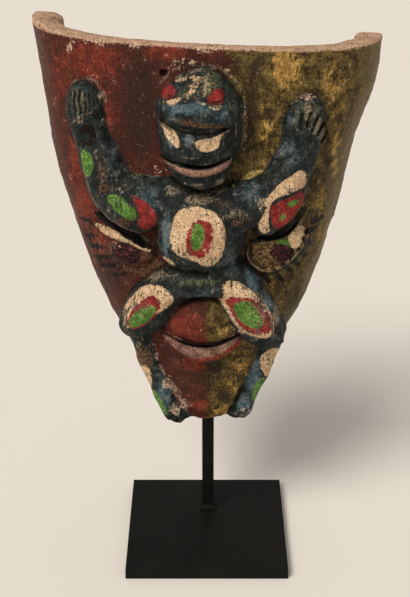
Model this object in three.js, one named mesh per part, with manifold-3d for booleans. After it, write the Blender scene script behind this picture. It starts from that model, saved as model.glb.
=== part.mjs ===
// A painted wooden face mask, carved from one block, on its steel stand.
// Millimetres, +Z up, the face looks along -Y. The origin is the middle of the base plate's underside.
import * as THREE from 'three';
import { mergeVertices } from 'three/addons/utils/BufferGeometryUtils.js';
import Module from 'manifold-3d';

// Stand
const PLATE_SIDE = 127;
const PLATE_THICKNESS = 8;
const BAR_SIDE = 9.5;
const BAR_X = 1;
const BAR_Y = 22;
const PEG_LEVEL = 361;
const PEG_TIP_Y = -21.5;
const WELD_OVERHANG = 1.3;
const WELD_HEIGHT = 5.5;
const FIT_GAP = 0.3;

// Mask: in its own frame x runs to the viewer's right, y to the back and z up, with y = 0 at the back edges
// of its walls and z = 0 at the lowest toe.
const MASK_HEIGHT = 297;
const CHIN_LEVEL = 7;
const MASK_PLACE = [0.5, 47, 112];
const MASK_ROLL = THREE.MathUtils.degToRad(1.5);
const MASK_YAW = THREE.MathUtils.degToRad(-6);

// The wall is an arch in plan, open at the back. Each station gives its height, the half widths to the left
// and right and the depth of its outside, and the same three of its hollow.
const ARCH_POWER = 2.5;
const STATIONS = [
  { z: -6, outside: [27, 31, 61], hollow: [16, 22, 36] },
  { z: 25, outside: [45.5, 45.5, 68], hollow: [27, 30, 38] },
  { z: 60, outside: [65, 58.5, 73], hollow: [45, 41, 42] },
  { z: 100, outside: [86, 77, 77], hollow: [67, 59, 48] },
  { z: 150, outside: [104, 90, 80], hollow: [86, 73, 54] },
  { z: 200, outside: [119, 99.8, 79], hollow: [101, 82, 57] },
  { z: 232, outside: [124.5, 106, 77], hollow: [107, 88, 57] },
  { z: 262, outside: [128.5, 115, 74], hollow: [109, 97, 59] },
  { z: 305, outside: [135.5, 118, 69], hollow: [114, 100, 58] },
];
const OUTSIDE_LEVELS = 12;
const OUTSIDE_STEPS = 28;
const HOLLOW_LEVELS = 8;
const HOLLOW_STEPS = 16;
const HOLLOW_OVERRUN = 20;

// Facets round a limb and round an ellipsoid
const LIMB_SIDES = 12;
const LIMB_ARC_STEPS = 2;
const BALL_SIDES = 16;
const BALL_RINGS = 9;
const FINGER_SIDES = 6;
const FINGER_ARC_STEPS = 2;

// The figure's limbs lie on the arch's front. Each point is x, z, how far its centre stands proud of the
// plain front, and the limb's radius there.
const LIMBS = {
  leftForearm: [[-84, 244, -2, 14.5], [-80, 229, -2, 14.5], [-74, 214, -1, 16], [-68, 200, -1, 17.5]],
  leftShoulder: [[-52, 190, -2, 16.5], [-24, 188, 1, 18]],
  rightForearm: [[66, 240, -2, 16], [64, 229, -2, 16.5], [59, 218, -1, 16.5], [54, 206, -1, 17.5]],
  rightShoulder: [[44, 194, -2, 16.5], [20, 188, 1, 18]],
  hips: [[-14, 131, 3, 12.5], [16, 131, 3, 12.5]],
  leftThigh: [[-10, 131, 3, 12.5], [-26, 122, 5, 14]],
  rightThigh: [[19, 141, 3, 13], [32, 124, 5, 15]],
  leftShin: [[-47, 88, -4, 11], [-41, 62, -5, 11], [-32, 38, -4, 11], [-22, 14, -1, 10.5]],
  rightShin: [[52, 84, -4, 11], [46, 60, -5, 11], [38, 36, -4, 11], [30, 14, -1, 10]],
};

// Round forms that lie on the front: middle x, z, how far it stands proud, radii, and turn in degrees
// about Y, Z and X
const FIGURE_MOUNDS = {
  leftUpperArm: { x: -58, z: 186, proud: 1, radii: [31, 17, 18], turn: [31, -22, 0] },
  rightUpperArm: { x: 55, z: 187, proud: 1, radii: [27, 16, 15], turn: [-52, 22, 0] },
  leftPalm: { x: -86.5, z: 250, proud: 1, radii: [14.5, 10.5, 17.5], turn: [0, -32, 0] },
  rightPalm: { x: 67, z: 247, proud: 1, radii: [15.5, 10.5, 20.5], turn: [8, 27, 0] },
  leftKnee: { x: -36.5, z: 107, proud: 5, radii: [30.5, 16, 17], turn: [-50, 2, 0] },
  rightKnee: { x: 37, z: 107, proud: 5, radii: [35, 16, 18], turn: [54, 0, 0] },
  leftFoot: { x: -17, z: 9, proud: 3, radii: [11, 7, 9], turn: [0, -10, 0] },
  rightFoot: { x: 29, z: 11, proud: 3, radii: [11, 7, 9], turn: [0, 10, 0] },
};
const FACE_MOUNDS = {
  leftEye: { x: -55, z: 149.5, proud: -2, radii: [23, 11, 14], turn: [0, -22, 0] },
  rightEye: { x: 54, z: 154, proud: -2, radii: [24, 11, 17], turn: [-18, 22, 0] },
  chin: { x: 3, z: 46, proud: -10, radii: [28, 14, 42], turn: [0, 0, 0] },
};

// Round forms with their middle given in full
const HEAD = { at: [-3, -79, 243.5], radii: [29.5, 31, 41.5] };
const MUZZLE = { at: [-4, -94, 239], radii: [21.5, 17.5, 13.5] };
const CHIN_OF_FIGURE = { at: [-1, -90, 213], radii: [17, 14, 8.5] };
const NAVEL = { at: [1, -86, 172], radii: [26, 23, 24] };
const UPPER_LIP = { at: [3, -66, 99], radii: [35, 26, 23] };

// Chains of round-ended tapers, ridges and cuts: points x, y, z and radius
const BELLY = [[-9, -84, 164, 22], [8, -84, 164, 22]];
const CHEST = [[-20, -77, 187, 18.5], [20, -77, 187, 18.5]];
const BROW = [
  [-27, -88, 262, 5], [-15, -102, 260, 6.5], [1, -107, 259, 7], [15, -101, 259, 6.5], [23, -88, 259.5, 5],
];
const NOSE = [[-7, -107, 250, 4], [-8, -110, 242.5, 4.5]];
const FIGURE_LIP = [[-22, -92, 228, 3], [-11, -105, 223, 4], [4, -107, 222.5, 4], [19, -92, 229, 3]];
const FIGURE_MOUTH = [
  [-26, -92, 232, 1.5], [-14, -109, 228, 2], [4, -113, 226.5, 2], [14, -107, 229, 2], [24, -92, 233, 1.5],
];
const LOWER_LIP = [
  [-28, -75, 89, 4], [-12, -86, 79, 5.5], [5, -90, 75.5, 6], [19, -86, 79.5, 5], [31, -75, 88, 4],
];
const LEFT_EYE_SLIT = [[-76, 168], [-60, 160.5], [-45, 153], [-30, 144]];
const RIGHT_EYE_SLIT = [[72, 182], [57, 167], [43, 161], [33, 154]];
const EYE_SLIT_HEIGHT = 6;
const EYE_SLIT_BACK_Y = -20;
const EYE_SLIT_FRONT_Y = -110;

// Fingers: the first one's foot, the step to the next, and the way each one points
const FINGER_COUNT = 4;
const FINGER_RADIUS = 2.6;
const LEFT_FINGERS = { first: [-95, 245], step: [4.4, 0.3], reach: [0.4, 12], proud: 8.5 };
const RIGHT_FINGERS = { first: [66, 238], step: [3.9, 3], reach: [-5, 10], proud: 9 };
const TOE_COUNT = 4;
const TOE_RADIUS = 2.4;
const LEFT_TOES = { first: [-23, 7], step: [3.5, -0.5], reach: [0.6, -3.2], proud: 7 };
const RIGHT_TOES = { first: [25, 10], step: [3.5, 0.5], reach: [-0.2, -3], proud: 6.5 };

const wasm = await Module();
wasm.setup();
const { Manifold, Mesh: SolidMesh } = wasm;

// Turns a three.js geometry into a closed solid
function solidOf(geometry) {
  const bare = geometry.clone();
  bare.deleteAttribute('normal');
  bare.deleteAttribute('uv');
  const merged = mergeVertices(bare, 1e-5);
  const corners = merged.index.array;
  const kept = [];
  for (let i = 0; i < corners.length; i += 3) {
    const [a, b, c] = [corners[i], corners[i + 1], corners[i + 2]];
    if (a !== b && b !== c && c !== a) kept.push(a, b, c);
  }
  return new Manifold(new SolidMesh({
    numProp: 3,
    vertProperties: new Float32Array(merged.attributes.position.array),
    triVerts: new Uint32Array(kept),
  }));
}

function geometryOf(solid) {
  const mesh = solid.getMesh();
  const geometry = new THREE.BufferGeometry();
  geometry.setAttribute('position', new THREE.BufferAttribute(new Float32Array(mesh.vertProperties), 3));
  geometry.setIndex(new THREE.BufferAttribute(new Uint32Array(mesh.triVerts), 1));
  return geometry;
}

// Smooth value of one column of the stations at height z
function stationValue(z, part, column) {
  const last = STATIONS.length - 1;
  const value = (i) => STATIONS[i][part][column];
  const slope = (i) => {
    const [below, above] = [Math.max(i - 1, 0), Math.min(i + 1, last)];
    return (value(above) - value(below)) / (STATIONS[above].z - STATIONS[below].z);
  };
  let i = 0;
  while (i < last - 1 && z > STATIONS[i + 1].z) i += 1;
  const span = STATIONS[i + 1].z - STATIONS[i].z;
  const t = (z - STATIONS[i].z) / span;
  return (2 * t ** 3 - 3 * t ** 2 + 1) * value(i) + (t ** 3 - 2 * t ** 2 + t) * span * slope(i)
    + (-2 * t ** 3 + 3 * t ** 2) * value(i + 1) + (t ** 3 - t ** 2) * span * slope(i + 1);
}

// One plan of the arch at height z, from its left foot round the front to its right foot
function archPlan(z, part, steps) {
  const [left, right, depth] = [0, 1, 2].map((column) => stationValue(z, part, column));
  const plan = [];
  for (let i = 0; i <= steps; i += 1) {
    const angle = Math.PI * i / steps;
    const across = Math.abs(Math.cos(angle)) ** (2 / ARCH_POWER);
    const forward = Math.abs(Math.sin(angle)) ** (2 / ARCH_POWER);
    const atFoot = i === 0 || i === steps;
    plan.push([angle < Math.PI / 2 ? -left * across : right * across, atFoot ? 0 : -depth * forward]);
  }
  return plan;
}

// Closed solid through equal rings of [x, y, z] points, bottom first
function loft(rings) {
  const count = rings[0].length;
  const points = rings.flat();
  const faces = [];
  for (let ring = 0; ring < rings.length - 1; ring += 1) {
    for (let i = 0; i < count; i += 1) {
      const next = (i + 1) % count;
      const [a, b] = [ring * count + i, ring * count + next];
      faces.push(a, b, b + count, a, b + count, a + count);
    }
  }
  for (const [start, top] of [[0, false], [(rings.length - 1) * count, true]]) {
    const middle = points.length;
    const ring = points.slice(start, start + count);
    points.push([0, 1, 2].map((axis) => ring.reduce((sum, p) => sum + p[axis], 0) / count));
    for (let i = 0; i < count; i += 1) {
      const [a, b] = [start + i, start + (i + 1) % count];
      faces.push(...(top ? [middle, a, b] : [middle, b, a]));
    }
  }
  const geometry = new THREE.BufferGeometry();
  geometry.setAttribute('position', new THREE.Float32BufferAttribute(points.flat(), 3));
  geometry.setIndex(faces);
  return solidOf(geometry);
}

function outsideOfArch() {
  const rings = [];
  for (let level = 0; level <= OUTSIDE_LEVELS; level += 1) {
    const z = CHIN_LEVEL + (MASK_HEIGHT - CHIN_LEVEL) * level / OUTSIDE_LEVELS;
    rings.push(archPlan(z, 'outside', OUTSIDE_STEPS).map(([x, y]) => [x, y, z]));
  }
  return loft(rings);
}

function hollowOfArch() {
  const rings = [];
  const [low, high] = [STATIONS[0].z, STATIONS[STATIONS.length - 1].z];
  for (let level = 0; level <= HOLLOW_LEVELS; level += 1) {
    const z = low + (high - low) * level / HOLLOW_LEVELS;
    const plan = archPlan(z, 'hollow', HOLLOW_STEPS);
    const [first, last] = [plan[0], plan[plan.length - 1]];
    rings.push([[first[0], HOLLOW_OVERRUN], ...plan, [last[0], HOLLOW_OVERRUN]].map(([x, y]) => [x, y, z]));
  }
  return loft(rings);
}

// Depth of the arch's plain front at x, z
function frontY(x, z) {
  const halfWidth = stationValue(z, 'outside', x < 0 ? 0 : 1);
  const inside = Math.max(1 - Math.abs(x / halfWidth) ** ARCH_POWER, 0);
  return -stationValue(z, 'outside', 2) * inside ** (1 / ARCH_POWER);
}

function onFront(x, z, proud) {
  return [x, frontY(x, z) - proud, z];
}

function ball({ at, radii, turn = [0, 0, 0] }) {
  const geometry = new THREE.SphereGeometry(1, BALL_SIDES, BALL_RINGS);
  const [aboutY, aboutZ, aboutX] = turn.map(THREE.MathUtils.degToRad);
  geometry.scale(...radii);
  const turned = new THREE.Euler(aboutX, aboutY, aboutZ, 'YZX');
  geometry.applyMatrix4(new THREE.Matrix4().makeRotationFromEuler(turned));
  geometry.translate(...at);
  return solidOf(geometry);
}

function ballOnFront({ x, z, proud, radii, turn }) {
  return ball({ at: onFront(x, z, proud), radii, turn });
}

// Round-ended tapered piece between two points, each with its radius
function taper(start, end, startRadius, endRadius, sides, arcSteps) {
  const [from, to] = [new THREE.Vector3(...start), new THREE.Vector3(...end)];
  const length = from.distanceTo(to);
  const touch = Math.asin((startRadius - endRadius) / length);
  const profile = [];
  for (let i = 0; i <= arcSteps; i += 1) {
    const angle = -Math.PI / 2 + (touch + Math.PI / 2) * i / arcSteps;
    const out = i === 0 ? 0 : startRadius * Math.cos(angle);
    profile.push(new THREE.Vector2(out, startRadius * Math.sin(angle)));
  }
  for (let i = 0; i <= arcSteps; i += 1) {
    const angle = touch + (Math.PI / 2 - touch) * i / arcSteps;
    const out = i === arcSteps ? 0 : endRadius * Math.cos(angle);
    profile.push(new THREE.Vector2(out, length + endRadius * Math.sin(angle)));
  }
  const geometry = new THREE.LatheGeometry(profile, sides);
  const direction = to.sub(from).normalize();
  geometry.applyQuaternion(new THREE.Quaternion().setFromUnitVectors(new THREE.Vector3(0, 1, 0), direction));
  geometry.translate(...from);
  return solidOf(geometry);
}

// Chain of tapers through points [x, y, z, radius]
function chain(points, sides = LIMB_SIDES, arcSteps = LIMB_ARC_STEPS) {
  const pieces = [];
  for (let i = 0; i < points.length - 1; i += 1) {
    const [a, b] = [points[i], points[i + 1]];
    pieces.push(taper(a.slice(0, 3), b.slice(0, 3), a[3], b[3], sides, arcSteps));
  }
  return Manifold.union(pieces);
}

function limbOnFront(points) {
  return chain(points.map(([x, z, proud, radius]) => [...onFront(x, z, proud), radius]));
}

// A row of short fingers or toes lying on the front
function digits({ first, step, reach, proud }, count, radius) {
  const pieces = [];
  for (let i = 0; i < count; i += 1) {
    const [x, z] = [first[0] + step[0] * i, first[1] + step[1] * i];
    const [tipX, tipZ] = [x + reach[0], z + reach[1]];
    const points = [[...onFront(x, z, proud), radius], [...onFront(tipX, tipZ, proud - 1), radius]];
    pieces.push(chain(points, FINGER_SIDES, FINGER_ARC_STEPS));
  }
  return Manifold.union(pieces);
}

// A narrow slit right through the wall, following points x, z
function slit(points) {
  const pieces = [];
  for (let i = 0; i < points.length - 1; i += 1) {
    const [[x0, z0], [x1, z1]] = [points[i], points[i + 1]];
    const length = Math.hypot(x1 - x0, z1 - z0) + EYE_SLIT_HEIGHT;
    const depth = EYE_SLIT_BACK_Y - EYE_SLIT_FRONT_Y;
    const geometry = new THREE.BoxGeometry(length, depth, EYE_SLIT_HEIGHT);
    geometry.rotateY(-Math.atan2(z1 - z0, x1 - x0));
    geometry.translate((x0 + x1) / 2, (EYE_SLIT_BACK_Y + EYE_SLIT_FRONT_Y) / 2, (z0 + z1) / 2);
    pieces.push(solidOf(geometry));
  }
  return Manifold.union(pieces);
}

function carvedFigure() {
  return Manifold.union([
    ball(HEAD),
    chain(BROW),
    ball(MUZZLE),
    chain(NOSE, FINGER_SIDES, FINGER_ARC_STEPS),
    ball(CHIN_OF_FIGURE),
    chain(BELLY),
    ball(NAVEL),
    chain(CHEST),
    ...Object.values(LIMBS).map(limbOnFront),
    ...Object.values(FIGURE_MOUNDS).map(ballOnFront),
    digits(LEFT_FINGERS, FINGER_COUNT, FINGER_RADIUS),
    digits(RIGHT_FINGERS, FINGER_COUNT, FINGER_RADIUS),
    digits(LEFT_TOES, TOE_COUNT, TOE_RADIUS),
    digits(RIGHT_TOES, TOE_COUNT, TOE_RADIUS),
  ]);
}

// Blind hole in the back of the head for the peg, in the mask's own frame
function pegHole(placement) {
  const side = BAR_SIDE + 2 * FIT_GAP;
  const [tipY, backY] = [PEG_TIP_Y - FIT_GAP, BAR_Y];
  const geometry = new THREE.BoxGeometry(side, backY - tipY, side);
  geometry.translate(BAR_X, (tipY + backY) / 2, PEG_LEVEL);
  geometry.applyMatrix4(placement.clone().invert());
  return solidOf(geometry);
}

function carvedMask(placement) {
  const arch = outsideOfArch();
  const mounds = Manifold.union([ball(UPPER_LIP), ...Object.values(FACE_MOUNDS).map(ballOnFront)]);
  const carved = Manifold.union([arch, mounds, carvedFigure()])
    .subtract(chain(FIGURE_MOUTH, FINGER_SIDES, FINGER_ARC_STEPS))
    .add(chain(FIGURE_LIP, FINGER_SIDES, FINGER_ARC_STEPS))
    .add(chain(LOWER_LIP, FINGER_SIDES, FINGER_ARC_STEPS));
  return geometryOf(carved
    .subtract(hollowOfArch())
    .subtract(slit(LEFT_EYE_SLIT))
    .subtract(slit(RIGHT_EYE_SLIT))
    .subtract(pegHole(placement)));
}

// Square bar with the weld bead round its foot
function postGeometry() {
  const top = PEG_LEVEL + BAR_SIDE / 2;
  const bar = new THREE.BoxGeometry(BAR_SIDE, BAR_SIDE, top - PLATE_THICKNESS);
  bar.translate(BAR_X, BAR_Y, (top + PLATE_THICKNESS) / 2);
  const [wide, narrow] = [BAR_SIDE / 2 + WELD_OVERHANG, BAR_SIDE / 2];
  const ring = (half, z) => [[-half, -half], [half, -half], [half, half], [-half, half]]
    .map(([x, y]) => [BAR_X + x, BAR_Y + y, z]);
  const weld = loft([
    ring(wide, PLATE_THICKNESS),
    ring(wide, PLATE_THICKNESS + WELD_HEIGHT / 2),
    ring(narrow, PLATE_THICKNESS + WELD_HEIGHT),
  ]);
  return geometryOf(solidOf(bar).add(weld));
}

function pegGeometry() {
  const backY = BAR_Y - BAR_SIDE / 2;
  const geometry = new THREE.BoxGeometry(BAR_SIDE, backY - PEG_TIP_Y, BAR_SIDE);
  geometry.translate(BAR_X, (backY + PEG_TIP_Y) / 2, PEG_LEVEL);
  return geometry;
}

function plateGeometry() {
  const geometry = new THREE.BoxGeometry(PLATE_SIDE, PLATE_SIDE, PLATE_THICKNESS);
  geometry.translate(0, 0, PLATE_THICKNESS / 2);
  return geometry;
}

const paintedWood = new THREE.MeshStandardMaterial({ color: 0x6e3b2a, roughness: 0.75, metalness: 0 });
const blackSteel = new THREE.MeshStandardMaterial({ color: 0x141312, roughness: 0.5, metalness: 0.2 });

function piece(name, geometry, material) {
  const mesh = new THREE.Mesh(geometry, material);
  mesh.name = name;
  return mesh;
}

const turn = new THREE.Euler(0, MASK_ROLL, MASK_YAW, 'ZYX');
const placement = new THREE.Matrix4().makeRotationFromEuler(turn).setPosition(...MASK_PLACE);
const mask = piece('mask', carvedMask(placement), paintedWood);
mask.position.set(...MASK_PLACE);
mask.rotation.copy(turn);

const group = new THREE.Group();
group.add(
  mask,
  piece('stand_post', postGeometry(), blackSteel),
  piece('stand_peg', pegGeometry(), blackSteel),
  piece('base_plate', plateGeometry(), blackSteel),
);

export default group;
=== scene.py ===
"""A painted wooden face mask on its steel stand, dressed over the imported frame.

The mask is carved as a distance field in its own frame, in millimetres: x to the viewer's right, y to the
back, z up, with y = 0 at the back edges of its walls and z = 0 at the lowest toe. Its paint is laid out on
the picture plane of the camera, in pixels of the 410 x 597 frame, and each patch is kept to the part of the
carving that it belongs to.
"""
from collections import namedtuple

import bpy
import numpy as np
import openvdb
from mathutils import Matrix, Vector


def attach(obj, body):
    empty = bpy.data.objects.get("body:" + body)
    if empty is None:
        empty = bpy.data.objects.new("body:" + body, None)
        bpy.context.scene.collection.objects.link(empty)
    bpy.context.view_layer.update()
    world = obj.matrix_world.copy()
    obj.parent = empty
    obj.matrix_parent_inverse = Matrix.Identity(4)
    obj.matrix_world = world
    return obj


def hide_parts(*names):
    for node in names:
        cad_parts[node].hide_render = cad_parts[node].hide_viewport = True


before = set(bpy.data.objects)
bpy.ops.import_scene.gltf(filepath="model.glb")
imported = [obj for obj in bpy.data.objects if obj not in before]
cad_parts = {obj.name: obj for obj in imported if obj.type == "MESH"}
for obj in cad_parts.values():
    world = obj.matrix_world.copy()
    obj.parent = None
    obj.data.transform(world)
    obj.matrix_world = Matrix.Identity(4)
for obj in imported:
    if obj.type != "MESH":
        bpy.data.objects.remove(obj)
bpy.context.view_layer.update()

MM = 0.001
TINY = 1e-9
CURVE_STEPS = 4
CORNER_ROUNDS = 3

# Camera, worked out from the square plate: place in millimetres, focal length in pixels
FRAME_WIDTH = 410
FRAME_HEIGHT = 597
FOCAL_PIXELS = 1228.0
CAMERA_PLACE = np.array([-1.4, -840.6, 604.0])
CAMERA_PITCH = np.radians(25.0)
FORWARD = np.array([0, np.cos(CAMERA_PITCH), -np.sin(CAMERA_PITCH)])
UPWARD = np.array([0, np.sin(CAMERA_PITCH), np.cos(CAMERA_PITCH)])
SENSOR_HEIGHT = 24.0

# The mask's place on the stand, and the grid that it is carved in
MASK_PLACE = np.array([0.5, 47.0, 112.0])
MASK_ROLL = np.radians(1.5)
MASK_YAW = np.radians(-6.0)
MASK_HEIGHT = 297.0
VOXEL = 0.9
FLATNESS = 0.04
FIELD_LOW = (-142.0, -128.0, -8.0)
FIELD_HIGH = (126.0, 6.0, 306.0)
FAR = 9.0
BAND = 8.0

# Height, left and right half width and depth of the outside, then the same of the hollow
STATIONS = np.array([
    (-6, 27, 31, 61, 16, 22, 36),
    (25, 45.5, 45.5, 68, 27, 30, 38),
    (60, 65, 58.5, 73, 45, 41, 42),
    (100, 86, 77, 77, 67, 59, 48),
    (150, 104, 90, 80, 86, 73, 54),
    (200, 119, 99.8, 79, 101, 82, 57),
    (232, 124.5, 106, 77, 107, 88, 57),
    (262, 128.5, 115, 74, 109, 97, 59),
    (305, 135.5, 118, 69, 114, 100, 58),
], float)
OUTSIDE = (1, 2, 3)
HOLLOW = (4, 5, 6)
ARCH_POWER = 2.5

# Steps in the top and bottom edges: the x where each starts, the width it takes and how far it rises
RIM_STEPS = ((-112, -8, 3.5),)
TOE_HEIGHT = 1
TOE_STEPS = ((-14, 4, 5.5), (20, 4, -3))

# How softly one form runs into another, and how softly the edges and the eye slits are cut
CREASE = 1.2
HOLLOW_EDGE = 3
CUT_EDGE = 2
SLIT_EDGE = 1.5

# Unevenness of the front and of the hollow: the cells of the noise, its amount and its seed
FRONT_NOISE = ((4, 4, 4), 0.22, 4)
HOLLOW_NOISE = ((8, 8, 26), 1.1, 5)

# Scoops left by the gouge, round the arch and up it: width, height, depth. SCOOP_ARC is the arc of one radian
SCOOPS = ((12.0, 21.0, 0.75), (6.0, 9.0, 0.35))
HOLLOW_SCOOPS = ((11.0, 34.0, 1.5),)
SCOOP_ARC = 90.0
SCOOP_STEEPNESS = 1.6
SCOOP_LIFT = 0.6
SKIN = 3.0

# Softness of an engraved edge in pixels, and the depths between which the front of the carving lies
ENGRAVED_EDGE = 2.0
ENGRAVED_DEPTHS = (-124, -8)


# From the mask to the scene and to the picture

def spin(a, b, angle):
    """The pair a, b turned by an angle, from a towards b."""
    c, s = np.cos(angle), np.sin(angle)
    return c * a - s * b, s * a + c * b


def to_world(points):
    """Mask millimetres to scene millimetres."""
    x, y, z = points.T
    x, z = spin(x, z, -MASK_ROLL)
    x, y = spin(x, y, MASK_YAW)
    return np.stack([x, y, z], 1) + MASK_PLACE


def to_mask(points):
    """Scene millimetres to mask millimetres."""
    x, y, z = (points - MASK_PLACE).T
    x, y = spin(x, y, -MASK_YAW)
    x, z = spin(x, z, MASK_ROLL)
    return np.stack([x, y, z], 1)


def to_frame(points):
    """Where the camera puts scene points, in pixels of the frame."""
    way = points - CAMERA_PLACE
    depth = way @ FORWARD
    return (FRAME_WIDTH / 2 + FOCAL_PIXELS * way[:, 0] / depth,
            FRAME_HEIGHT / 2 - FOCAL_PIXELS * (way @ UPWARD) / depth)


def from_frame(u, v, y):
    """The point of the mask's own frame that shows at a pixel and lies at depth y."""
    ray = FORWARD + UPWARD * (FRAME_HEIGHT / 2 - v) / FOCAL_PIXELS
    ray[0] += (u - FRAME_WIDTH / 2) / FOCAL_PIXELS
    start, end = to_mask(np.array([CAMERA_PLACE, CAMERA_PLACE + ray]))
    way = end - start
    return start + way * (y - start[1]) / way[1]


# Curves, strokes and outlines

def bend(points):
    """More points along a smooth curve through points; every column is carried along."""
    p = np.array(points, float)
    p = np.vstack([2 * p[0] - p[1], p, 2 * p[-1] - p[-2]])
    out = []
    for a, b, c, d in zip(p, p[1:], p[2:], p[3:]):
        for t in np.arange(CURVE_STEPS) / CURVE_STEPS:
            out.append(0.5 * (2 * b + (c - a) * t + (2 * a - 5 * b + 4 * c - d) * t**2
                              + (3 * b - a - 3 * c + d) * t**3))
    out.append(p[-2])
    return np.array(out)


def along(u, v, x0, y0, x1, y1):
    """How far along a side the place nearest to each point lies, and the way from it to the point."""
    ex, ey = x1 - x0, y1 - y0
    t = np.clip(((u - x0) * ex + (v - y0) * ey) / (ex * ex + ey * ey + TINY), 0, 1)
    return t, u - x0 - t * ex, v - y0 - t * ey


def stroke(u, v, points, width):
    """Signed distance to a brush stroke through points; width may be one number or one for each point."""
    p = np.reshape(points, (-1, 2))
    rows = bend(np.column_stack([p, np.broadcast_to(np.array(width) / 2, len(p))]))
    best = np.inf
    for (x0, y0, w0), (x1, y1, w1) in zip(rows, rows[1:]):
        t, du, dv = along(u, v, x0, y0, x1, y1)
        best = np.minimum(best, np.hypot(du, dv) - w0 - t * (w1 - w0))
    return best


def outline(u, v, *points):
    """Signed distance to a closed outline, negative inside, its corners cut round."""
    p = np.reshape(points, (-1, 2))
    for _ in range(CORNER_ROUNDS):
        q = np.roll(p, -1, 0)
        p = np.stack([0.75 * p + 0.25 * q, 0.25 * p + 0.75 * q], 1).reshape(-1, 2)
    best = np.inf
    inside = np.zeros(len(u), bool)
    for (x0, y0), (x1, y1) in zip(p, np.roll(p, -1, 0)):
        t, du, dv = along(u, v, x0, y0, x1, y1)
        best = np.minimum(best, du**2 + dv**2)
        rise = y1 - y0 if abs(y1 - y0) > TINY else TINY
        inside ^= ((y0 > v) != (y1 > v)) & (u < (x1 - x0) * (v - y0) / rise + x0)
    return np.where(inside, -1, 1) * np.sqrt(best)


# Distance fields

def soft_min(a, b, k):
    h = np.maximum(k - np.abs(a - b), 0) / k
    return np.minimum(a, b) - h * h * k / 4


def soft_max(a, b, k):
    return -soft_min(-a, -b, k)


def station(z, column):
    """Smooth value of one column of the stations at height z."""
    zs, values = STATIONS[:, 0], STATIONS[:, column]
    slopes = np.gradient(values, zs)
    i = np.clip(np.searchsorted(zs, z) - 1, 0, len(zs) - 2)
    span = zs[i + 1] - zs[i]
    t = np.clip((z - zs[i]) / span, 0, 1)
    return ((2 * t**3 - 3 * t**2 + 1) * values[i] + (t**3 - 2 * t**2 + t) * span * slopes[i]
            + (3 * t**2 - 2 * t**3) * values[i + 1] + (t**3 - t**2) * span * slopes[i + 1]).astype(np.float32)


def arch(x, y, z, columns):
    """Signed distance to the arch-shaped plan at each height."""
    left, right, depth = (station(z, c) for c in columns)
    half = np.where(x < 0, left, right)
    q = (np.abs(x / half) ** ARCH_POWER + np.abs(y / depth) ** ARCH_POWER) ** (1 / ARCH_POWER)
    return np.hypot(x, y) * (1 - 1 / np.maximum(q, 1e-3))


def on(x, z, proud=0.0):
    """A point at x, z that stands proud of the arch's plain front."""
    left, right, depth = (float(station(np.array(float(z)), c)) for c in OUTSIDE)
    half = left if x < 0 else right
    front = -depth * max(1 - abs(x / half) ** ARCH_POWER, 0) ** (1 / ARCH_POWER)
    return (x, front - proud, z)


def steps_at(x, steps):
    return sum(rise * np.clip((x - start) / width, 0, 1) for start, width, rise in steps)


# A carved form: its distance function and the box that holds it
Form = namedtuple("Form", "distance low high")


def ball(centre, radii, turn=(0, 0, 0)):
    """An ellipsoid, turned about y, then z, then x, in degrees."""
    about_y, about_z, about_x = np.radians(turn)

    def distance(x, y, z):
        x, y, z = x - centre[0], y - centre[1], z - centre[2]
        x, z = spin(x, z, about_y)
        x, y = spin(x, y, -about_z)
        y, z = spin(y, z, -about_x)
        k0, k1 = (np.sqrt((x / a**n) ** 2 + (y / b**n) ** 2 + (z / c**n) ** 2) for n in (1, 2))
        return k0 * (k0 - 1) / np.maximum(k1, 1e-6)
    a, b, c = radii
    return Form(distance, np.array(centre) - max(radii), np.array(centre) + max(radii))


def limb(rows):
    """A round limb; each row is x, y, z, radius."""
    rows = np.array(rows, float)
    p, r = rows[:, :3], rows[:, 3]

    def distance(x, y, z):
        best = np.inf
        for a, b, ra, rb in zip(p, p[1:], r, r[1:]):
            e = b - a
            dx, dy, dz = x - a[0], y - a[1], z - a[2]
            t = np.clip((dx * e[0] + dy * e[1] + dz * e[2]) / (e @ e), 0, 1)
            gap = np.sqrt((dx - t * e[0]) ** 2 + (dy - t * e[1]) ** 2 + (dz - t * e[2]) ** 2)
            best = np.minimum(best, gap - (ra + t * (rb - ra)))
        return best
    return Form(distance, p.min(0) - r.max(), p.max(0) + r.max())


def curved_limb(rows):
    """A limb along a smooth curve."""
    return limb(bend(rows))


def limb_on(rows):
    """A curved limb whose rows are x, z, how far its middle stands proud of the arch, radius."""
    return curved_limb([(*on(x, z, proud), r) for x, z, proud, r in rows])


def facet(form, point, normal, blend=3.0):
    """A form with one side planed flat."""
    n = np.array(normal) / np.linalg.norm(normal)

    def distance(x, y, z):
        plane = (x - point[0]) * n[0] + (y - point[1]) * n[1] + (z - point[2]) * n[2]
        return soft_max(form.distance(x, y, z), plane, blend)
    return form._replace(distance=distance)


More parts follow.
